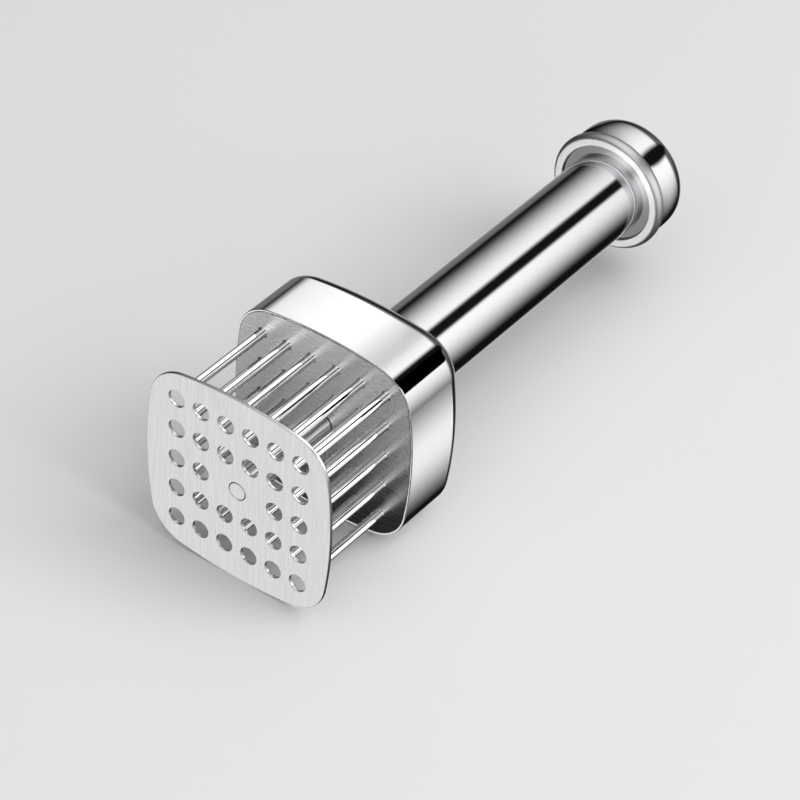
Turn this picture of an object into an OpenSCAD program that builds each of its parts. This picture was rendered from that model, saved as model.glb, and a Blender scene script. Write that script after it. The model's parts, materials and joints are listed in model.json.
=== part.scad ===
// Spring-plunger meat tenderizer, lying on its side.
// The tool axis is Y: the press plate faces -Y and the end cap points along +Y.
// Every sub-part is drawn standing on the press face, with the tool axis along Z,
// and lay() tips it over. Heights named z_* count from the press face to the cap.

/* [Press plate] */
// Side of the press plate, from bow to bow
plate_size = 54; // [53.5:0.5:58]
// Thickness of the press plate
plate_t = 0.9; // [0.8:0.1:1.4]
// Diameter of the needle holes in the press plate
hole_d = 4.6; // [4:0.1:5.2]
// Gap all round the rod end in the middle of the press plate
rod_end_gap = 0.15; // [0.05:0.05:0.3]

/* [Needles] */
// Needle pitch across a row
pitch_x = 7.2; // [6.8:0.1:7.6]
// Pitch from row to row
pitch_z = 9; // [8.4:0.1:9.4]
// Diameter of a needle
needle_d = 2.35; // [2:0.05:2.6]
// Length of the needle point
point_len = 3.2; // [2:0.1:4]
// Distance of the needle points behind the press plate
point_setback = 2; // [1:0.1:2.5]
// Needle length that shows between the press face and the needle plate
needle_reach = 31.3; // [31.3:0.1:34]

/* [Head] */
// Side of the head shell, from bow to bow
head_size = 53; // [52.5:0.5:53.5]
// Depth of the head shell
head_depth = 20.3; // [19:0.1:22]
// Sheet thickness of the head shell
shell_t = 0.6; // [0.5:0.1:0.8]
// Outer radius of the rounded back edge
back_r = 4.7; // [4:0.1:6]
// Radius of the bowed sides
side_r = 110; // [100:1:130]
// Radius of the corners
corner_r = 11; // [10:0.5:12]

/* [Handle] */
// Outer diameter of the handle tube
tube_d = 22.2; // [21.5:0.1:22.6]
// Wall of the handle tube
tube_t = 1.2; // [1:0.1:1.4]
// Length of tube that shows between head and cap
grip_len = 99; // [95:1:110]

/* [End cap] */
// Outer diameter of the rolled ring at the mouth of the cap
ring_d = 33; // [32:0.1:34]
// Diameter of the domed cap behind the ring
cap_d = 31.6; // [30.4:0.1:32]
// Length of the cap from the front of its ring
cap_len = 16; // [15:0.1:18]
// Depth of the recess between ring and tube
recess_len = 0.8; // [0.4:0.1:1.2]

/* [Plunger] */
// Diameter of the plunger rod
rod_d = 6; // [5.6:0.1:6.2]
// Wire diameter of the return spring
wire_d = 1.2; // [1:0.1:1.3]
// Turns of the return spring
spring_turns = 16; // [12:1:18]

/* [Hidden] */
$fn = 96;
row_len = 6;
row_count = 5;
// The middle row leaves out its two middle needles, where the rod passes
needle_at = [
    for (row = [0 : row_count - 1])
        for (col = [0 : row_len - 1])
            if (row != 2 || (col != 2 && col != 3))
                [(col - (row_len - 1) / 2) * pitch_x, (row - (row_count - 1) / 2) * pitch_z]
];

// Clearances of a seated part, of a sliding rod, of a part that drops in and of a free part
fit = 0.02;
run = 0.05;
slack = 0.1;
loose = 0.3;
// Small step that keeps faces from meeting exactly, and the overrun of a cut
eps = 0.01;
over = 1;

// Head, from the front to the back
z_needle_plate = needle_reach;
needle_plate_t = 3;
z_backing = z_needle_plate + needle_plate_t;
backing_t = 2;
z_sleeve = z_backing + backing_t;
z_head_back = z_needle_plate + head_depth;
head_inset = shell_t + run;
needle_head_d = 3.6;
needle_head_t = 0.9;

// Handle and cap
flange_t = 2;
flange_d = 36;
z_flange = z_head_back - shell_t - flange_t;
z_ring = z_head_back + grip_len - recess_len;
z_seat = z_ring + recess_len;
seat_t = 1.5;
tube_in_cap = 6;
z_tube_end = z_seat + tube_in_cap;
tool_len = z_ring + cap_len;
cap_t = 1.2;
cap_round = 5.3;
crown_r = 60;
ring_t = 3.2;
ring_inner_d = 26.6;
ring_outer_round = 1.4;
ring_inner_round = 0.4;
plug_len = 12;
stud_d = 6;
stud_foot_d = 14;
stud_foot_t = 1.2;
stud_in_plug = 8;
stud_gap = 1;

// Plunger and its spring
rod_end_d = hole_d - slack;
rod_foot_d = 10;
rod_foot_t = 1.2;
bush_d = 9;
bush_flange_d = 12;
bush_lip_t = 0.8;
bumper_t = 2;
bumper_d = 12.4;
tail_d = 5;
z_collar = z_sleeve + bumper_t + slack;
collar_t = 4;
collar_d = 12.4;
clip_d = 8;
clip_t = 0.8;
clip_mouth = 2.4;
clip_groove_d = 4.2;
z_clip = z_collar + collar_t + eps;
tail_len = 20;
z_rod_end = z_clip + tail_len;
sleeve_bore = 13;
sleeve_d = 15;
sleeve_foot_d = 24;
sleeve_foot_t = 1.5;
spring_len = 57;
z_spring = z_collar + collar_t + run;
z_spring_seat = z_spring + spring_len + run;
spring_d = 10;
spring_seat_t = 4;
spring_pin_d = 8.2;
spring_pin_len = 3;
z_sleeve_end = z_spring_seat + spring_seat_t;
centring_d = tube_d - 2 * tube_t - slack;
centring_t = 2;

needle_nodes = [for (i = [1 : len(needle_at)]) str("needle_", i)];

// Tips a tool that stands on its press face over onto its side
module lay() translate([0, -tool_len / 2, plate_size / 2]) rotate([-90, 0, 0]) children();

module ring(outer_d, inner_d, z, t)
    translate([0, 0, z])
        difference() {
            cylinder(d = outer_d, h = t);
            translate([0, 0, -over]) cylinder(d = inner_d, h = t + 2 * over);
        }

// ---- Square with bowed sides and round corners, all in true arcs ----

// Distance from the axis to the centre of a side's arc, which lies beyond the far side
function side_centre(size) = side_r - size / 2;
// Both coordinates of a corner arc's centre, where it runs smoothly into the side arcs
function corner_at(size) =
    (sqrt(2 * pow(side_r - corner_r, 2) - pow(side_centre(size), 2)) - side_centre(size)) / 2;
// Half the angle that one side's arc spans
function side_half_angle(size) = atan2(corner_at(size), corner_at(size) + side_centre(size));

// Block of height h; inset shrinks its outline evenly
module bowed_block(size, h, inset = 0) {
    c = corner_at(size);
    half = side_half_angle(size);
    side_in = (side_r - corner_r) * cos(half) - over;
    translate([-c, -c, 0]) cube([2 * c, 2 * c, h]);
    for (turn = [0 : 90 : 270])
        rotate([0, 0, turn]) {
            translate([-side_centre(size), 0, 0])
                rotate([0, 0, -half])
                    rotate_extrude(angle = 2 * half)
                        translate([side_in, 0]) square([side_r - inset - side_in, h]);
            translate([c, c, 0])
                rotate([0, 0, half])
                    rotate_extrude(angle = 90 - 2 * half)
                        square([corner_r - inset, h]);
        }
}

// The same block with its top edge rounded by r_edge
module rounded_block(size, h, inset, r_edge) {
    slab = 0.1;
    edge_step = 15;
    hull() {
        bowed_block(size, h - r_edge, inset);
        for (turn = [edge_step : edge_step : 90])
            translate([0, 0, h - r_edge * (1 - sin(turn)) - slab])
                bowed_block(size, slab, inset + r_edge * (1 - cos(turn)));
    }
}

// ---- Plunger ----

module press_plate()
    color("silver")
        lay()
            difference() {
                bowed_block(plate_size, plate_t);
                for (p = needle_at)
                    translate([p[0], p[1], -over]) cylinder(d = hole_d, h = plate_t + 2 * over);
                translate([0, 0, -over])
                    cylinder(d = rod_end_d + 2 * rod_end_gap, h = plate_t + 2 * over);
            }

// Rod with a flush front end, a foot behind the press plate and a thin grooved tail
module plunger_rod()
    color("gainsboro")
        lay()
            difference() {
                union() {
                    cylinder(d = rod_end_d, h = plate_t + eps);
                    translate([0, 0, plate_t]) cylinder(d = rod_foot_d, h = rod_foot_t);
                    translate([0, 0, plate_t]) cylinder(d = rod_d, h = z_collar - plate_t);
                    translate([0, 0, plate_t]) cylinder(d = tail_d, h = z_rod_end - plate_t);
                }
                ring(tail_d + 2 * over, clip_groove_d, z_clip, clip_t + 2 * eps);
            }

module plunger_collar()
    color("darkgray")
        lay() ring(collar_d, tail_d + 2 * fit, z_collar, collar_t);

// Open clip that sits in the groove of the rod's tail
module collar_clip()
    color("dimgray")
        lay()
            difference() {
                ring(clip_d, clip_groove_d + 2 * fit, z_clip + eps, clip_t);
                translate([0, -clip_mouth / 2, z_clip - over])
                    cube([clip_d, clip_mouth, clip_t + 2 * over]);
            }

// ---- Return spring ----

steps_per_turn = 16;
wire_sides = 8;
closed_turns = 1.5;
// Height of the wire's centre after a number of turns: the end turns lie closed
function wire_z(turn) =
    let (closed_pitch = wire_d * 1.03)
    let (open_turns = spring_turns - 2 * closed_turns)
    let (open_len = spring_len - wire_d - 2 * closed_turns * closed_pitch)
    wire_d / 2
        + min(turn, closed_turns) * closed_pitch
        + max(0, min(turn - closed_turns, open_turns)) * open_len / open_turns
        + max(0, turn - closed_turns - open_turns) * closed_pitch;
function wire_ring(turn) = [
    for (side = [0 : wire_sides - 1])
        let (around = side * 360 / wire_sides)
        let (r = spring_d / 2 + wire_d / 2 * cos(around))
        [r * cos(turn * 360), r * sin(turn * 360), wire_z(turn) + wire_d / 2 * sin(around)]
];

module return_spring() {
    rings = spring_turns * steps_per_turn;
    points = [for (i = [0 : rings]) each wire_ring(i / steps_per_turn)];
    sides = [
        for (i = [0 : rings - 1])
            for (k = [0 : wire_sides - 1])
                let (a = i * wire_sides + k)
                let (b = i * wire_sides + (k + 1) % wire_sides)
                each [[a, a + wire_sides, b + wire_sides], [a, b + wire_sides, b]]
    ];
    first = [for (k = [0 : wire_sides - 1]) k];
    last = [for (k = [wire_sides - 1 : -1 : 0]) rings * wire_sides + k];
    color("lightsteelblue")
        lay()
            translate([0, 0, z_spring])
                polyhedron(points = points, faces = concat([first], sides, [last]));
}

// ---- Head ----

module bumper_ring()
    color("black")
        lay() ring(bumper_d, rod_d + 2 * loose, z_sleeve, bumper_t);

// Flanged bush that guides the rod, held behind a lip of the needle plate
module guide_bush()
    color("ivory")
        lay()
            difference() {
                union() {
                    translate([0, 0, z_needle_plate + bush_lip_t])
                        cylinder(d = bush_d, h = needle_plate_t - bush_lip_t);
                    translate([0, 0, z_backing]) cylinder(d = bush_flange_d, h = backing_t);
                }
                cylinder(d = rod_d + 2 * run, h = tool_len);
            }

module needle_plate()
    color("lightgray")
        lay()
            translate([0, 0, z_needle_plate])
                difference() {
                    bowed_block(head_size, needle_plate_t, head_inset);
                    for (p = needle_at)
                        translate([p[0], p[1], 0]) {
                            translate([0, 0, -over])
                                cylinder(d = needle_d + 2 * fit, h = needle_plate_t + 2 * over);
                            translate([0, 0, needle_plate_t - needle_head_t])
                                cylinder(d = needle_head_d + 2 * fit, h = needle_head_t + over);
                        }
                    translate([0, 0, -over])
                        cylinder(d = rod_d + 2 * loose, h = needle_plate_t + 2 * over);
                    translate([0, 0, bush_lip_t])
                        cylinder(d = bush_d + 2 * fit, h = needle_plate_t);
                }

// Plate behind the needle plate that keeps the needle heads in their seats
module backing_plate()
    color("darkgray")
        lay()
            translate([0, 0, z_backing])
                difference() {
                    bowed_block(head_size, backing_t, head_inset);
                    translate([0, 0, -over])
                        cylinder(d = bush_flange_d + 2 * fit, h = backing_t + 2 * over);
                }

// Deep-drawn cup with a rounded back edge; the tube passes through its back
module head_shell()
    color("silver")
        lay()
            translate([0, 0, z_needle_plate])
                difference() {
                    rounded_block(head_size, head_depth, 0, back_r);
                    translate([0, 0, -eps])
                        rounded_block(head_size, head_depth - shell_t + eps, shell_t, back_r - shell_t);
                    cylinder(d = tube_d + 2 * fit, h = head_depth + over);
                }

// Solid needle with a long point in front and a flat head behind
module needle(place) {
    z_point = plate_t + point_setback;
    shoulder = z_backing - needle_head_t;
    tip_r = 0.15;
    color("whitesmoke")
        lay()
            translate([place[0], place[1], 0])
                rotate_extrude()
                    polygon([
                        [0, z_point],
                        [tip_r, z_point],
                        [needle_d / 2, z_point + point_len],
                        [needle_d / 2, shoulder],
                        [needle_head_d / 2, shoulder],
                        [needle_head_d / 2, z_backing],
                        [0, z_backing]
                    ]);
}

// Flange that holds the front end of the handle tube inside the shell
module tube_flange()
    color("darkgray")
        lay() ring(flange_d, tube_d + 2 * fit, z_flange, flange_t);

// Tube that houses the spring and the collar
module spring_sleeve()
    color("gray")
        lay()
            difference() {
                union() {
                    translate([0, 0, z_sleeve]) cylinder(d = sleeve_foot_d, h = sleeve_foot_t);
                    translate([0, 0, z_sleeve]) cylinder(d = sleeve_d, h = z_sleeve_end - z_sleeve);
                }
                cylinder(d = sleeve_bore, h = tool_len);
            }

// Plug that closes the sleeve, centres it in the handle tube and seats the spring
module spring_seat()
    color("dimgray")
        lay() {
            translate([0, 0, z_spring_seat - spring_pin_len])
                cylinder(d = spring_pin_d, h = spring_pin_len + eps);
            translate([0, 0, z_spring_seat])
                cylinder(d = sleeve_bore - 2 * fit, h = spring_seat_t + eps);
            translate([0, 0, z_sleeve_end]) cylinder(d = centring_d, h = centring_t);
        }

// ---- Handle and cap ----

module handle_tube()
    color("silver")
        lay() ring(tube_d, tube_d - 2 * tube_t, z_flange, z_tube_end - z_flange);

// Threaded plug in the tube's rear end, which takes the stud of the cap
module tube_plug() {
    outer_d = tube_d - 2 * tube_t - 2 * fit;
    color("gray")
        lay() ring(outer_d, stud_d + 2 * fit, z_tube_end - plug_len, plug_len);
}

// Disc at the bottom of the cap's recess, round the tube
module cap_seat()
    color("darkgray")
        lay() ring(ring_inner_d - 2 * fit, tube_d + 2 * fit, z_seat, seat_t);

// Rolled ring at the mouth of the cap, well rounded outside and a little inside
module cap_ring() {
    r_in = ring_inner_d / 2;
    r_out = ring_d / 2;
    outer_at = r_out - ring_outer_round;
    inner_at = r_in + ring_inner_round;
    color("lightgray")
        lay()
            translate([0, 0, z_ring])
                rotate_extrude() {
                    translate([inner_at, 0]) square([outer_at - inner_at, ring_t]);
                    translate([outer_at, ring_outer_round])
                        square([ring_outer_round, ring_t - 2 * ring_outer_round]);
                    translate([r_in, ring_inner_round])
                        square([ring_inner_round, ring_t - 2 * ring_inner_round]);
                    for (z = [ring_outer_round, ring_t - ring_outer_round])
                        translate([outer_at, z]) circle(r = ring_outer_round);
                    for (z = [ring_inner_round, ring_t - ring_inner_round])
                        translate([inner_at, z]) circle(r = ring_inner_round);
                }
}

// Half section of the dome, shrunk by inset: straight wall, round edge, crowned end.
// The edge's circle touches the wall and the crown's circle.
module dome_section(inset) {
    edge_x = cap_d / 2 - cap_round;
    crown_z = cap_len - crown_r;
    edge_z = crown_z + sqrt((crown_r - cap_round) ^ 2 - edge_x ^ 2);
    tilt = atan2(edge_z - crown_z, edge_x);
    reach = 2 * crown_r;
    square([cap_d / 2 - inset, edge_z]);
    translate([edge_x, edge_z]) circle(r = cap_round - inset);
    intersection() {
        translate([0, crown_z]) circle(r = crown_r - inset);
        polygon([
            [0, crown_z],
            [reach * cos(tilt), crown_z + reach * sin(tilt)],
            [0, crown_z + reach]
        ]);
        square([cap_d, cap_len]);
    }
}

module end_cap()
    color("silver")
        lay()
            translate([0, 0, z_ring])
                rotate_extrude()
                    difference() {
                        dome_section(0);
                        dome_section(cap_t);
                        translate([-over, -over]) square([cap_d, ring_t + eps + over]);
                    }

// Stud fixed inside the dome, which screws into the tube's plug
module cap_stud() {
    z_dome_in = tool_len - cap_t;
    color("gray")
        lay() {
            translate([0, 0, z_tube_end - stud_in_plug])
                cylinder(d = stud_d, h = z_dome_in - stud_gap - z_tube_end + stud_in_plug);
            translate([0, 0, z_dome_in - stud_gap - stud_foot_t])
                cylinder(d = stud_foot_d, h = stud_foot_t);
        }
}

press_plate();
plunger_rod();
plunger_collar();
collar_clip();
return_spring();
bumper_ring();
guide_bush();
needle_plate();
backing_plate();
head_shell();
tube_flange();
spring_sleeve();
spring_seat();
handle_tube();
tube_plug();
cap_seat();
cap_ring();
end_cap();
cap_stud();
for (i = [1 : len(needle_at)])
    needle(needle_at[i - 1]);
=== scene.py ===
"""Looks of the needle meat tenderizer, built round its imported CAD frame.

The tool lies on its side: the press plate faces -Y and the domed cap is at +Y.
Lengths are in metres. A profile is drawn with heights that count along +Y from the press face.
"""
import json
import math

import bmesh
import bpy
from mathutils import Matrix, Vector


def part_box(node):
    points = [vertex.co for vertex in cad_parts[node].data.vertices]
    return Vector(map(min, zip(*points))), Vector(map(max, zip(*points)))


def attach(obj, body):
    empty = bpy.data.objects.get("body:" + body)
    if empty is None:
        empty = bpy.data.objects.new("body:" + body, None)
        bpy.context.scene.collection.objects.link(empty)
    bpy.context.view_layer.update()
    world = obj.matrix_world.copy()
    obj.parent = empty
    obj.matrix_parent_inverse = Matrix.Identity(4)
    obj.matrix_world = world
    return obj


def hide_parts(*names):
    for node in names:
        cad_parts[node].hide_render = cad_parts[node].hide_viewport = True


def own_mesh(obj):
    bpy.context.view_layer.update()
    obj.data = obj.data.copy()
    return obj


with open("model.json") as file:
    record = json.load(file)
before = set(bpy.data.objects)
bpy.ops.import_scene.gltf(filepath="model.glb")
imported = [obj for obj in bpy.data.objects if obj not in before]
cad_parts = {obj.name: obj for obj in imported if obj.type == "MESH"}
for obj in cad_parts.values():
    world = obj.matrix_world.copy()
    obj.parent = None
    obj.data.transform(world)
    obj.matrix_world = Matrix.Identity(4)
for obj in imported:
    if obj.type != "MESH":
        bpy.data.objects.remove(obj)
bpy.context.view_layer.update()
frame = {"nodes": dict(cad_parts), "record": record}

MM = 0.001


# ---- Measures, read off the frame ----

def low(node):
    """Lower corner of a CAD node's box."""
    return Vector(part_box(node)[0])


def high(node):
    """Upper corner of a CAD node's box."""
    return Vector(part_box(node)[1])


def middle(node):
    return (low(node) + high(node)) / 2


FACE_Y = low("press_plate").y
AXIS = Vector((0, FACE_Y, middle("handle_tube").z))


def height_of(y):
    """Height of a place along Y above the press face."""
    return y - FACE_Y


NEEDLES = sorted((n for n in frame["nodes"] if n.startswith("needle_") and n[-1].isdigit()),
                 key=lambda n: int(n.split("_")[1]))


# ---- Camera ----

def make_camera():
    """Camera at the viewing angle: from the front right and above, slightly rolled."""
    azimuth, elevation, roll = math.radians(34.87), math.radians(40.06), math.radians(3.25)
    aim = Vector((0, FACE_Y + 63 * MM, 13.6 * MM))
    distance = 803 * MM
    back = Vector((math.sin(azimuth) * math.cos(elevation),
                   -math.cos(azimuth) * math.cos(elevation),
                   math.sin(elevation)))
    data = bpy.data.cameras.new("Camera")
    data.lens = 148.5
    data.sensor_width = 36
    data.clip_start, data.clip_end = 0.05, 30
    camera = bpy.data.objects.new("Camera", data)
    bpy.context.scene.collection.objects.link(camera)
    turn = (-back).to_track_quat("-Z", "Y").to_matrix().to_4x4()
    camera.matrix_world = Matrix.Translation(aim + back * distance) @ turn @ Matrix.Rotation(roll, 4, "Z")
    bpy.context.scene.camera = camera


make_camera()


# ---- Mesh helpers ----

# Distance of the guard points that keep a smooth shaded flat true beside an arc
GUARD = 0.03 * MM


def link(name, mesh):
    piece = bpy.data.objects.new(name, mesh)
    bpy.context.scene.collection.objects.link(piece)
    return piece


def loft(name, rings, closed=False):
    """Smooth mesh through rings of equal length. A ring of one point closes an end;
    closed joins the last ring to the first."""
    mesh = bpy.data.meshes.new(name)
    bm = bmesh.new()
    rows = [[bm.verts.new(p) for p in ring] for ring in rings]
    if closed:
        rows.append(rows[0])
    for a, b in zip(rows, rows[1:]):
        count = max(len(a), len(b))
        for i in range(count if count > 1 else 0):
            j = (i + 1) % count
            if len(a) == 1:
                corners = (a[0], b[j], b[i])
            elif len(b) == 1:
                corners = (a[i], a[j], b[0])
            else:
                corners = (a[i], a[j], b[j], b[i])
            bm.faces.new(corners)
    bmesh.ops.recalc_face_normals(bm, faces=bm.faces)
    for f in bm.faces:
        f.smooth = True
    bm.to_mesh(mesh)
    bm.free()
    return link(name, mesh)


def rounded(corners, steps=6, closed=False):
    """Path through corners (a, b, radius), each turned into an arc with a guard point at both ends."""
    path = []
    count = len(corners)
    for i, (a, b, radius) in enumerate(corners):
        here = Vector((a, b))
        if radius == 0 or (not closed and i in (0, count - 1)):
            path.append(here)
            continue
        before = Vector(corners[i - 1][:2])
        after = Vector(corners[(i + 1) % count][:2])
        d0, d1 = (before - here).normalized(), (after - here).normalized()
        half = math.acos(max(-1, min(1, d0.dot(d1)))) / 2
        reach = radius / math.tan(half)
        centre = here + (d0 + d1).normalized() * (radius / math.sin(half))
        start, end = here + d0 * reach, here + d1 * reach
        path.append(start + d0 * min(GUARD, (before - start).length / 3))
        r0, r1 = start - centre, end - centre
        sweep = math.atan2(r0.cross(r1), r0.dot(r1))
        for k in range(steps + 1):
            t = sweep * k / steps
            path.append(centre + Vector((r0.x * math.cos(t) - r0.y * math.sin(t),
                                         r0.x * math.sin(t) + r0.y * math.cos(t))))
        path.append(end + d1 * min(GUARD, (after - end).length / 3))
    return path


def revolve(name, path, segments=96, centre=AXIS, closed=False):
    """Turned piece: each (radius, height) of the path becomes a ring round the tool axis."""
    rings = []
    for r, h in path:
        if r == 0:
            rings.append([centre + Vector((0, h, 0))])
            continue
        rings.append([centre + Vector((r * math.cos(t), h, r * math.sin(t)))
                      for t in (2 * math.pi * i / segments for i in range(segments))])
    return loft(name, rings, closed)


# ---- Bowed square: the outline of plate and head ----

SIDE_R = 110 * MM
CORNER_R = 11 * MM
SIDE_STEPS = 28
CORNER_STEPS = 28


def bowed_outline(size, inset=0.0):
    """Points (x, z) round a square with bowed sides and round corners, shrunk evenly by inset."""
    far = SIDE_R - size / 2
    corner = (math.sqrt(2 * (SIDE_R - CORNER_R) ** 2 - far ** 2) - far) / 2
    half = math.atan2(corner, corner + far)
    points = []
    for quarter in range(4):
        turn = quarter * math.pi / 2
        local = []
        for k in range(SIDE_STEPS):
            t = -half + 2 * half * k / SIDE_STEPS
            local.append((-far + (SIDE_R - inset) * math.cos(t), (SIDE_R - inset) * math.sin(t)))
        for k in range(CORNER_STEPS):
            t = half + (math.pi / 2 - 2 * half) * k / CORNER_STEPS
            local.append((corner + (CORNER_R - inset) * math.cos(t),
                          corner + (CORNER_R - inset) * math.sin(t)))
        for x, z in local:
            points.append((x * math.cos(turn) - z * math.sin(turn),
                           x * math.sin(turn) + z * math.cos(turn)))
    return points


PLATE_SIZE = 54 * MM
HEAD_SIZE = 53 * MM


def outline_ring(size, inset, height):
    return [AXIS + Vector((x, height, z)) for x, z in bowed_outline(size, inset)]


def round_ring(size, radius, height):
    """Circle whose points lie in line with those of the bowed outline."""
    ring = []
    for x, z in bowed_outline(size):
        reach = math.hypot(x, z)
        ring.append(AXIS + Vector((x / reach * radius, height, z / reach * radius)))
    return ring


# ---- Materials ----

def shader(name):
    """New node material with its Principled shader and a helper that adds nodes."""
    material = bpy.data.materials.new(name)
    material.use_nodes = True
    tree = material.node_tree
    principled = tree.nodes["Principled BSDF"]

    def add(kind, **values):
        node = tree.nodes.new(kind)
        for key, value in values.items():
            if key in node.inputs:
                node.inputs[key].default_value = value
            else:
                setattr(node, key, value)
        return node

    return material, tree.links.new, principled, add


def grain(add, wire, stretch, detail=4.0):
    """Noise in object space; stretch gives its cycles per metre along X, Y and Z."""
    place = add("ShaderNodeTexCoord")
    mapping = add("ShaderNodeMapping")
    mapping.inputs["Scale"].default_value = stretch
    noise = add("ShaderNodeTexNoise", Scale=1.0, Detail=detail, Roughness=0.6)
    wire(place.outputs["Object"], mapping.inputs["Vector"])
    wire(mapping.outputs["Vector"], noise.inputs["Vector"])
    return noise.outputs["Fac"]


def set_range(node, before, after, kind="LINEAR"):
    """Makes a Map Range node turn the range before into the range after."""
    node.interpolation_type = kind
    names = ("From Min", "From Max", "To Min", "To Max")
    for name, number in zip(names, (*before, *after)):
        node.inputs[name].default_value = number


def spread(add, wire, value, ends):
    """Maps the usual range of a noise value to the two ends."""
    node = add("ShaderNodeMapRange")
    set_range(node, (0.3, 0.7), ends)
    wire(value, node.inputs["Value"])
    return node.outputs["Result"]


def tint(add, wire, value, dark, light):
    """Colour between dark and light."""
    node = add("ShaderNodeMix", data_type="RGBA")
    node.inputs[6].default_value = (*dark, 1)
    node.inputs[7].default_value = (*light, 1)
    wire(value, node.inputs[0])
    return node.outputs[2]


def dent(add, wire, value, depth, normal=None):
    """Normal bent by a relief of this depth, on top of another normal if one is given."""
    node = add("ShaderNodeBump", Strength=1.0, Distance=depth)
    wire(value, node.inputs["Height"])
    if normal is not None:
        wire(normal, node.inputs["Normal"])
    return node.outputs["Normal"]


def steel(name, light, rough, across, streaks, groove, waves=0.0):
    """Stainless steel. streaks is the stretch of its polishing or brushing lines, across how much
    they vary its tone, groove their depth, and waves the depth of broad unevenness."""
    material, wire, principled, add = shader(name)
    lines = grain(add, wire, streaks)
    tone = spread(add, wire, lines, (0, 1))
    dark = tuple(c * (1 - across) for c in light)
    wire(tint(add, wire, tone, dark, light), principled.inputs["Base Color"])
    wire(spread(add, wire, lines, rough), principled.inputs["Roughness"])
    normal = dent(add, wire, lines, groove)
    if waves:
        normal = dent(add, wire, grain(add, wire, (90, 90, 90), 2.0), waves, normal)
    wire(normal, principled.inputs["Normal"])
    principled.inputs["Metallic"].default_value = 1.0
    return material


def dull(name, dark, light, rough, depth):
    """Rubber or plastic with a fine moulded texture."""
    material, wire, principled, add = shader(name)
    fine = grain(add, wire, (2500, 2500, 2500))
    wire(tint(add, wire, fine, dark, light), principled.inputs["Base Color"])
    wire(spread(add, wire, fine, rough), principled.inputs["Roughness"])
    wire(dent(add, wire, fine, depth), principled.inputs["Normal"])
    return material


LIGHT_STEEL = (0.83, 0.83, 0.84)
PLAIN_STEEL = (0.72, 0.72, 0.73)
DARK_STEEL = (0.45, 0.46, 0.48)

MATERIALS = {
    "brushed_steel": steel("Plate_brushed", LIGHT_STEEL, rough=(0.24, 0.36), across=0.25,
                           streaks=(5200, 400, 110), groove=0.004 * MM),
    "mirror_steel": steel("Mirror_polished", LIGHT_STEEL, rough=(0.05, 0.08), across=0.02,
                          streaks=(900, 900, 900), groove=0.0001 * MM, waves=0.004 * MM),
    "polished_steel": steel("Tube_polished", LIGHT_STEEL, rough=(0.07, 0.11), across=0.02,
                            streaks=(1800, 250, 1800), groove=0.0001 * MM),
    "needle_steel": steel("Needle_polished", LIGHT_STEEL, rough=(0.05, 0.08), across=0.03,
                          streaks=(900, 5000, 900), groove=0.0001 * MM),
    "satin_steel": steel("Satin_turned", LIGHT_STEEL, rough=(0.34, 0.44), across=0.08,
                         streaks=(3500, 3500, 3500), groove=0.001 * MM),
    "inner_steel": steel("Machined", PLAIN_STEEL, rough=(0.30, 0.42), across=0.15,
                         streaks=(400, 6000, 400), groove=0.003 * MM),
    "spring_steel": steel("Spring_wire", DARK_STEEL, rough=(0.25, 0.35), across=0.15,
                          streaks=(4000, 4000, 4000), groove=0.001 * MM),
    "bumper_rubber": dull("Rubber", (0.02, 0.02, 0.02), (0.045, 0.045, 0.045), (0.6, 0.8), 0.01 * MM),
    "bush_nylon": dull("Nylon", (0.78, 0.76, 0.70), (0.86, 0.84, 0.78), (0.4, 0.5), 0.004 * MM),
}
NEEDLE_PLATE_FINISH = steel("Needle_plate_brushed", LIGHT_STEEL, rough=(0.24, 0.34), across=0.12,
                            streaks=(130, 400, 5200), groove=0.0015 * MM)

SLOT_OF = {row["node"]: row["material_slot"] for row in frame["record"]["subparts"]}


def place_piece(piece, body, node):
    """Says which body a piece rides on and which node it replaces."""
    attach(piece, body)
    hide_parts(node)
    return piece


def finish_piece(piece, body, node):
    """Gives a new piece its material and its place."""
    piece.data.materials.clear()
    piece.data.materials.append(MATERIALS[SLOT_OF[node]])
    return place_piece(piece, body, node)


# ---- Plunger ----

NEEDLE_HOLE_R = 2.3 * MM
ROD_HOLE_R = 2.4 * MM
HOLE_POINTS = 48


def plate_curve(thick, edge):
    """Filled outline of the press plate with its holes, its edges rounded off by edge."""
    curve = bpy.data.curves.new("Press_plate", "CURVE")
    curve.dimensions = "2D"
    curve.fill_mode = "BOTH"
    curve.extrude = thick / 2 - edge
    curve.bevel_depth = edge
    curve.bevel_resolution = 4
    curve.offset = -edge

    def add_loop(points):
        spline = curve.splines.new("POLY")
        spline.points.add(len(points) - 1)
        for place, (x, z) in zip(spline.points, points):
            place.co = (x, z, 0, 1)
        spline.use_cyclic_u = True

    add_loop(bowed_outline(PLATE_SIZE))
    holes = [(middle(n).x, middle(n).z - AXIS.z, NEEDLE_HOLE_R) for n in NEEDLES] + [(0, 0, ROD_HOLE_R)]
    turns = [-2 * math.pi * i / HOLE_POINTS for i in range(HOLE_POINTS)]
    for x, z, r in holes:
        add_loop([(x + r * math.cos(t), z + r * math.sin(t)) for t in turns])
    return link("Plate_curve", curve)


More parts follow.
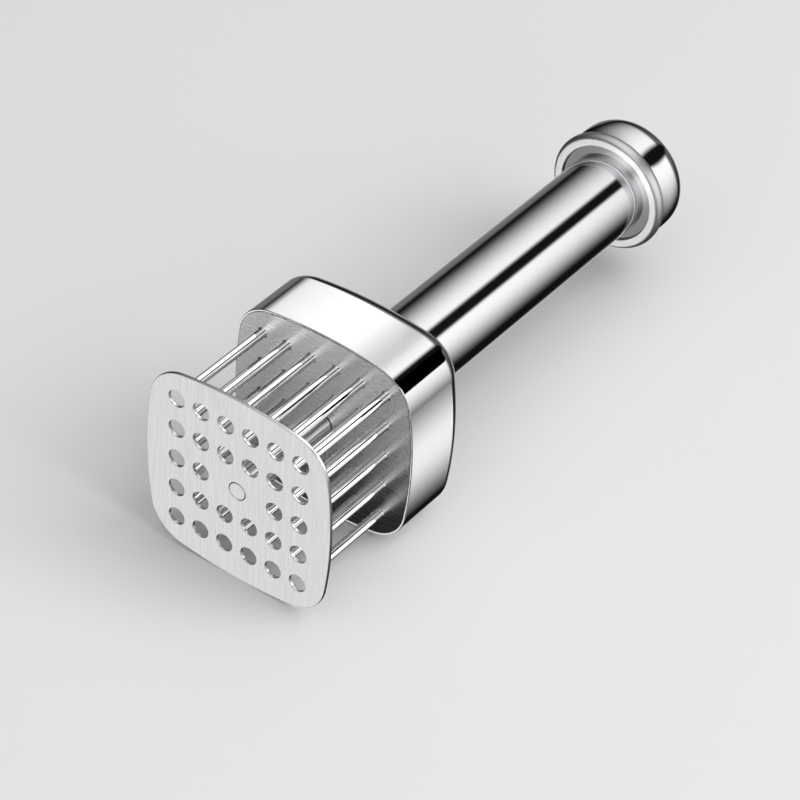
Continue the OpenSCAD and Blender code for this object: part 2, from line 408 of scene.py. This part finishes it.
def make_press_plate():
    """Thin plate with a hole for each needle and one for the rod."""
    thick, edge = high("press_plate").y - low("press_plate").y, 0.22 * MM
    source = plate_curve(thick, edge)
    mesh = bpy.data.meshes.new_from_object(source.evaluated_get(bpy.context.evaluated_depsgraph_get()))
    bpy.data.objects.remove(source)
    mesh.name = "Press_plate"
    centre = AXIS + Vector((0, thick / 2, 0))
    mesh.transform(Matrix.Translation(centre) @ Matrix.Rotation(math.pi / 2, 4, "X"))
    bm = bmesh.new()
    bm.from_mesh(mesh)
    bmesh.ops.remove_doubles(bm, verts=bm.verts, dist=0.001 * MM)
    bmesh.ops.recalc_face_normals(bm, faces=bm.faces)
    for f in bm.faces:
        f.smooth = abs(f.normal.y) < 0.999
    bm.to_mesh(mesh)
    bm.free()
    return finish_piece(link("Press_plate", mesh), "plunger", "press_plate")


def make_rod():
    """Plunger rod: flush front end, foot behind the press plate, shank and a grooved thin tail."""
    end_r, shank_r, tail_r, groove_r = 2.25 * MM, 3 * MM, 2.5 * MM, 2.1 * MM
    foot_t, groove_w = 1.2 * MM, 0.82 * MM
    plate_t = height_of(high("press_plate").y)
    foot_r, foot_top = high("plunger_rod").x, plate_t + foot_t
    collar = height_of(low("plunger_collar").y)
    clip = height_of(low("collar_clip").y)
    back = height_of(high("plunger_rod").y)
    corners = [
        (0, 0, 0), (end_r, 0, 0.12 * MM), (end_r, plate_t, 0),
        (foot_r, plate_t, 0.2 * MM), (foot_r, foot_top, 0.2 * MM),
        (shank_r, foot_top, 0.3 * MM), (shank_r, collar, 0.1 * MM),
        (tail_r, collar, 0), (tail_r, clip, 0), (groove_r, clip, 0), (groove_r, clip + groove_w, 0),
        (tail_r, clip + groove_w, 0), (tail_r, back, 0.4 * MM), (0, back, 0),
    ]
    rod = finish_piece(revolve("Plunger_rod", rounded(corners), 64), "plunger", "plunger_rod")
    rod.data.materials.append(MATERIALS["brushed_steel"])
    end_depth = 0.2 * MM
    for face in rod.data.polygons:
        face.material_index = 1 if height_of(face.center.y) < end_depth else 0
    return rod


def make_spring():
    """Open coil spring whose end turns lie closed."""
    wire_r, mean_r = 0.6 * MM, 5 * MM
    turns, closed_turns, steps, sides = 16, 1.5, 32, 12
    start, end = height_of(low("return_spring").y), height_of(high("return_spring").y)
    closed_pitch = 2.06 * wire_r
    open_turns = turns - 2 * closed_turns
    pitch = (end - start - 2 * wire_r - 2 * closed_turns * closed_pitch) / open_turns
    circle = [2 * math.pi * k / sides for k in range(sides)]
    rings = []
    for i in range(turns * steps + 1):
        turn = i / steps
        opened = min(max(turn - closed_turns, 0), open_turns)
        height = start + wire_r + (turn - opened) * closed_pitch + opened * pitch
        out = Vector((math.cos(2 * math.pi * turn), 0, -math.sin(2 * math.pi * turn)))
        centre = AXIS + Vector((0, height, 0)) + out * mean_r
        rings.append([centre + wire_r * (out * math.cos(t) + Vector((0, math.sin(t), 0))) for t in circle])
    ends = [[sum(ring, Vector()) / sides] for ring in (rings[0], rings[-1])]
    spring = loft("Return_spring", ends[:1] + rings + ends[1:])
    finish_piece(spring, "root", "return_spring")
    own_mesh(spring)


# ---- Head ----

SHELL_T = 0.6 * MM
BACK_R = 4.7 * MM


def make_head_shell():
    """Drawn cup: lip, bowed side, rounded back edge and flat back, with the tube's hole in it."""
    front = height_of(low("head_shell").y)
    back = height_of(high("head_shell").y)
    hole_r = high("handle_tube").x + 0.02 * MM
    rim, near, reach = 1.5 * MM, 0.2 * MM, 12 * MM
    lip = SHELL_T / 2
    lip_round = 0.25 * MM
    outer = rounded([(lip, front, 0), (0, front, lip_round), (0, back, BACK_R), (reach, back, 0)], 20)
    inner = rounded([(reach, back - SHELL_T, 0), (SHELL_T, back - SHELL_T, BACK_R - SHELL_T),
                     (SHELL_T, front, lip_round), (lip, front, 0)], 12)
    rings = [outline_ring(HEAD_SIZE, i, h) for i, h in outer if i < CORNER_R]
    rings += [round_ring(HEAD_SIZE, r, back) for r in (hole_r + rim, hole_r + near, hole_r)]
    rings += [round_ring(HEAD_SIZE, r, back - SHELL_T) for r in (hole_r, hole_r + rim)]
    rings += [outline_ring(HEAD_SIZE, i, h) for i, h in inner[:-1] if i < CORNER_R]
    return finish_piece(loft("Head_shell", rings, closed=True), "root", "head_shell")


def needle_path():
    """Profile of a needle: rounded point, slim curved taper, shank, root fillet and hidden head."""
    shank_r, taper, head_t, steps = 1.175 * MM, 3.2 * MM, 0.9 * MM, 14
    point = height_of(low("needle_1").y)
    head_end = height_of(high("needle_1").y)
    head_r = (high("needle_1").x - low("needle_1").x) / 2
    plate = height_of(low("needle_plate").y)
    shoulder = head_end - head_t
    path = [(0, point)]
    for k in range(1, steps + 1):
        t = k / steps
        path.append((shank_r * (1 - (1 - t) ** 1.7) ** 0.85, point + taper * t ** 1.25))
    path.append((shank_r, point + taper + 0.3 * MM))
    for wider, before in ((0, 0.35), (0.03, 0.2), (0.12, 0.06), (0.25, 0)):
        path.append((shank_r + wider * MM, plate - before * MM))
    path += [(shank_r, plate), (shank_r, shoulder), (head_r, shoulder), (head_r, head_end), (0, head_end)]
    return path


def make_needles():
    """All needles share one mesh, which stands on the axis of its own object."""
    first = revolve("Needle_01", needle_path(), 40, Vector((0, FACE_Y, 0)))
    first.data.materials.append(MATERIALS[SLOT_OF[NEEDLES[0]]])
    pieces = [first]
    pieces += [link(f"Needle_{number:02d}", first.data) for number in range(2, len(NEEDLES) + 1)]
    for piece, node in zip(pieces, NEEDLES):
        piece.location = (middle(node).x, 0, middle(node).z)
        place_piece(piece, "root", node)
    return pieces


# ---- Handle and cap ----

def make_tube():
    r, wall = high("handle_tube").x, 1.2 * MM
    front, back = height_of(low("handle_tube").y), height_of(high("handle_tube").y)
    corners = [(r - wall, front, 0), (r, front, 0.1 * MM), (r, back, 0.1 * MM), (r - wall, back, 0)]
    path = rounded(corners, 4)
    return finish_piece(revolve("Handle_tube", path, 160, closed=True), "root", "handle_tube")


def make_cap_ring():
    """Ring at the mouth of the cap, well rounded outside and a little inside."""
    r, r_in = high("cap_ring").x, 13.3 * MM
    outer_round, lip_round, back_round = 1.4 * MM, 0.6 * MM, 0.3 * MM
    front, back = height_of(low("cap_ring").y), height_of(high("cap_ring").y)
    corners = [(r_in, front, lip_round), (r, front, outer_round),
               (r, back, outer_round), (r_in, back, back_round)]
    path = rounded(corners, 12, closed=True)
    return finish_piece(revolve("Cap_ring", path, 160, closed=True), "root", "cap_ring")


def arc(centre, radius, start, end, steps):
    """Points of an arc between two angles in degrees."""
    turns = (math.radians(start + (end - start) * k / steps) for k in range(steps + 1))
    return [Vector(centre) + radius * Vector((math.cos(t), math.sin(t))) for t in turns]


def dome_path(inset, front, back):
    """Half section of the dome, shrunk by inset: straight wall, round edge, crowned end."""
    r, round_r, crown_r = high("end_cap").x, 5.3 * MM, 60 * MM
    edge_x, crown_h = r - round_r, back - crown_r
    edge_h = crown_h + math.sqrt((crown_r - round_r) ** 2 - edge_x ** 2)
    tilt = math.degrees(math.atan2(edge_h - crown_h, edge_x))
    path = [Vector((r - inset, front)), Vector((r - inset, edge_h - GUARD))]
    path += arc((edge_x, edge_h), round_r - inset, 0, tilt, 32)
    path += arc((0, crown_h), crown_r - inset, tilt, 90, 12)[1:-1]
    return path + [Vector((0, back - inset))]


def make_end_cap():
    wall = 1.2 * MM
    front, back = height_of(low("end_cap").y), height_of(high("end_cap").y)
    outer = dome_path(0, front, back)
    inner = dome_path(wall, front, back)
    return finish_piece(revolve("End_cap", outer + inner[::-1], 160, closed=True), "root", "end_cap")


PLATE = make_press_plate()
ROD = make_rod()
make_spring()
SHELL = make_head_shell()
NEEDLE_PIECES = make_needles()
make_tube()
CAP_RING = make_cap_ring()
make_end_cap()


# ---- Finishes of the CAD parts that stay ----

def dress_cad_nodes():
    for node, obj in frame["nodes"].items():
        material = NEEDLE_PLATE_FINISH if node == "needle_plate" else MATERIALS[SLOT_OF[node]]
        for place in obj.material_slots:
            place.material = material


dress_cad_nodes()


# ---- Studio ----

def make_floor():
    bpy.ops.mesh.primitive_plane_add(size=8, location=(0, 0, 0))
    floor = bpy.context.object
    floor.name = "Floor"
    material, wire, principled, add = shader("Floor_pale")
    soft = grain(add, wire, (3, 3, 3), 2.0)
    wire(tint(add, wire, soft, (0.76, 0.76, 0.77), (0.80, 0.80, 0.81)), principled.inputs["Base Color"])
    principled.inputs["Roughness"].default_value = 0.7
    principled.inputs["Specular IOR Level"].default_value = 0.2
    floor.data.materials.append(material)
    floor.visible_glossy = False
    floor.visible_shadow = False


def maths_helpers(tree):
    """Helpers that add the maths nodes of the world or of a lamp."""
    wire = tree.links.new

    def work(operation, *values):
        node = tree.nodes.new("ShaderNodeMath")
        node.operation = operation
        for socket, value in zip(node.inputs, values):
            if isinstance(value, (int, float)):
                socket.default_value = value
            else:
                wire(value, socket)
        return node.outputs[0]

    def ease(value, before, after=(0, 1)):
        """Turns the range before smoothly into the range after."""
        node = tree.nodes.new("ShaderNodeMapRange")
        set_range(node, before, after, "SMOOTHSTEP")
        wire(value, node.inputs["Value"])
        return node.outputs["Result"]

    return wire, work, ease


def make_world():
    """Two wide soft gradients along the tool, one above and one to the right, with a narrow dark gap
    between them, a few weak glows, and darkness elsewhere."""
    gain, faintest = 1.18, 0.005
    world = bpy.data.worlds.new("Studio")
    bpy.context.scene.world = world
    world.use_nodes = True
    world.cycles.sampling_method = "NONE"
    tree = world.node_tree
    wire, work, ease = maths_helpers(tree)
    place = tree.nodes.new("ShaderNodeTexCoord")
    axes = tree.nodes.new("ShaderNodeSeparateXYZ")
    wire(place.outputs["Generated"], axes.inputs[0])
    x, y, z = axes.outputs
    turn = work("DEGREES", work("ARCTAN2", z, x))

    def band(rise, fall):
        """Gradient along the tool that rises and falls between angles about its axis."""
        return work("MULTIPLY", ease(turn, rise), ease(turn, fall, (1, 0)))

    def glow(direction, inner, outer, brightness):
        """Full within inner degrees of a direction, easing to nothing at outer degrees."""
        dot = tree.nodes.new("ShaderNodeVectorMath")
        dot.operation = "DOT_PRODUCT"
        dot.inputs[1].default_value = Vector(direction).normalized()
        wire(place.outputs["Generated"], dot.inputs[0])
        edge, core = math.cos(math.radians(outer)), math.cos(math.radians(inner))
        return work("MULTIPLY", ease(dot.outputs["Value"], (edge, core)), brightness)

    right = band((-62, 26), (33, 43))
    upper = work("MULTIPLY", band((61, 73), (73, 165)), 0.96)
    total = work("MULTIPLY", work("ADD", right, upper), ease(y, (0.64, 0.86), (1, 0.12)))
    for light in (glow((-0.75, 0.65, -0.20), 5, 22, 0.15),
                  glow((-0.437, 0.65, -0.62), 4, 18, 0.35),
                  glow((-0.3, 0.87, -0.4), 6, 30, 0.3),
                  faintest):
        total = work("ADD", total, light)
    wire(work("MULTIPLY", total, gain), tree.nodes["Background"].inputs["Strength"])
    tree.nodes["Background"].inputs["Color"].default_value = (1, 1, 1, 1)


def shade_across(data, rise, fall):
    """Lets a soft box's light rise and fall smoothly between the given shares of its width."""
    data.use_nodes = True
    tree = data.node_tree
    wire, work, ease = maths_helpers(tree)
    place = tree.nodes.new("ShaderNodeNewGeometry")
    axes = tree.nodes.new("ShaderNodeSeparateXYZ")
    wire(place.outputs["Parametric"], axes.inputs[0])
    share = axes.outputs[0]
    strength = ease(share, rise)
    if fall:
        strength = work("MULTIPLY", strength, ease(share, fall, (1, 0)))
    wire(strength, tree.nodes["Emission"].inputs["Strength"])


def light_only(lamp, pieces, through):
    """Lets a lamp light these pieces only; with through, other pieces don't shade them."""
    group = bpy.data.collections.new(lamp.name + "_pieces")
    for piece in pieces:
        group.objects.link(piece)
    lamp.light_linking.receiver_collection = group
    if through:
        lamp.light_linking.blocker_collection = group
        lamp.data.cycles.use_multiple_importance_sampling = False


def soft_box(name, centre, turn, lean, distance, wide, tall, radiance,
             only=(), rise=None, fall=None, through=False):
    """Soft box that faces a point of the tool. turn is its angle about the tool axis from +X, lean its
    angle towards +Y, wide and tall the angles it covers, distance a length in metres."""
    t, e = math.radians(turn), math.radians(lean)
    away = Vector((math.cos(e) * math.cos(t), math.sin(e), math.cos(e) * math.sin(t)))
    side = Vector((math.sin(t), 0, -math.cos(t)))
    axes = Matrix((side, away.cross(side), away)).transposed().to_4x4()
    data = bpy.data.lights.new(name, "AREA")
    data.shape = "RECTANGLE"
    data.size = 2 * distance * math.cos(e) * math.tan(math.radians(wide / 2))
    data.size_y = 2 * distance * math.tan(math.radians(tall / 2))
    data.energy = math.pi * data.size * data.size_y * radiance
    lamp = bpy.data.objects.new(name, data)
    bpy.context.scene.collection.objects.link(lamp)
    lamp.matrix_world = Matrix.Translation(Vector(centre) + away * distance) @ axes
    lamp.visible_camera = False
    if rise:
        shade_across(data, rise, fall)
    if only:
        light_only(lamp, only, through)
    return lamp


def make_flag():
    """Small black card beside the head's upper right corner. It shows only in reflections, where it
    widens the dark band on that corner."""
    half_wide, half_long = 8.5 * MM, 23.5 * MM
    centre = AXIS + Vector((40.5 * MM, height_of(-21.5 * MM), 35.8 * MM))
    across, along = Vector((-0.54, 0, 0.84)) * half_wide, Vector((0, half_long, 0))
    mesh = bpy.data.meshes.new("Corner_flag")
    corners = [centre + across * a + along * b for a, b in ((-1, -1), (1, -1), (1, 1), (-1, 1))]
    mesh.from_pydata(corners, [], [(0, 1, 2, 3)])
    flag = link("Corner_flag", mesh)
    material, wire, principled, add = shader("Flag_black")
    principled.inputs["Base Color"].default_value = (0, 0, 0, 1)
    principled.inputs["Specular IOR Level"].default_value = 0
    mesh.materials.append(material)
    for ray in ("camera", "diffuse", "shadow", "transmission", "volume_scatter"):
        setattr(flag, "visible_" + ray, False)


# Where the camera sees the surroundings in a face square to the tool's axis
MIRROR_TURN, MIRROR_LEAN = -124.2, -38.9


def light_floor():
    fill = soft_box("Floor_fill", AXIS, 50, 10, 1.6, wide=40, tall=40, radiance=4.0)
    fill.visible_glossy = False


def light_head():
    half = HEAD_SIZE / 2
    at = (height_of(low("head_shell").y) + height_of(high("head_shell").y)) / 2
    soft_box("Head_top_box", AXIS + Vector((0, at, half)), 140, 32, 0.5, wide=60, tall=25,
             radiance=0.9, only=[SHELL], rise=(0.0, 0.5), fall=(0.72, 1.0))
    soft_box("Head_side_box", AXIS + Vector((half, at, 0)), -58, 32, 0.5, wide=44, tall=25,
             radiance=1.0, only=[SHELL], rise=(0.0, 0.4), fall=(0.45, 0.9))


def light_front():
    """Light on the faces that look along the tool: plates, rod end, lip and cap ring."""
    needle_plate, cap_seat = frame["nodes"]["needle_plate"], frame["nodes"]["cap_seat"]
    cap = AXIS + Vector((0, height_of(low("cap_ring").y), 0))
    corner = AXIS + Vector((-20 * MM, height_of(low("needle_plate").y), 20 * MM))
    soft_box("Front_box", AXIS, MIRROR_TURN, MIRROR_LEAN, 0.8, wide=80, tall=80,
             radiance=0.95, only=[PLATE, ROD, SHELL])
    soft_box("Cap_ring_box", cap, MIRROR_TURN, MIRROR_LEAN, 0.5, wide=60, tall=60,
             radiance=1.0, only=[CAP_RING], through=True)
    soft_box("Cap_seat_box", cap, MIRROR_TURN, MIRROR_LEAN, 0.5, wide=60, tall=60,
             radiance=0.3, only=[cap_seat], through=True)
    soft_box("Needle_plate_box", corner, MIRROR_TURN, MIRROR_LEAN, 0.2, wide=40, tall=40,
             radiance=0.9, only=[needle_plate], rise=(0.22, 0.8), through=True)


def light_needles():
    """Light on the needles from two sides, and on the hole walls and edges of the press plate."""
    middle_of_needles = AXIS + Vector((0, 20 * MM, 0))
    soft_box("Edge_box", middle_of_needles, 56, 36, 0.4, wide=90, tall=40, radiance=1.3, only=[PLATE])
    for name, turn in (("Needle_upper_box", 114), ("Needle_right_box", -8)):
        soft_box(name, middle_of_needles, turn, 36, 0.4, wide=84, tall=44, radiance=0.75,
                 only=NEEDLE_PIECES)


make_floor()
make_world()
make_flag()
light_floor()
light_head()
light_front()
light_needles()

bpy.context.scene.view_settings.view_transform = "Standard"
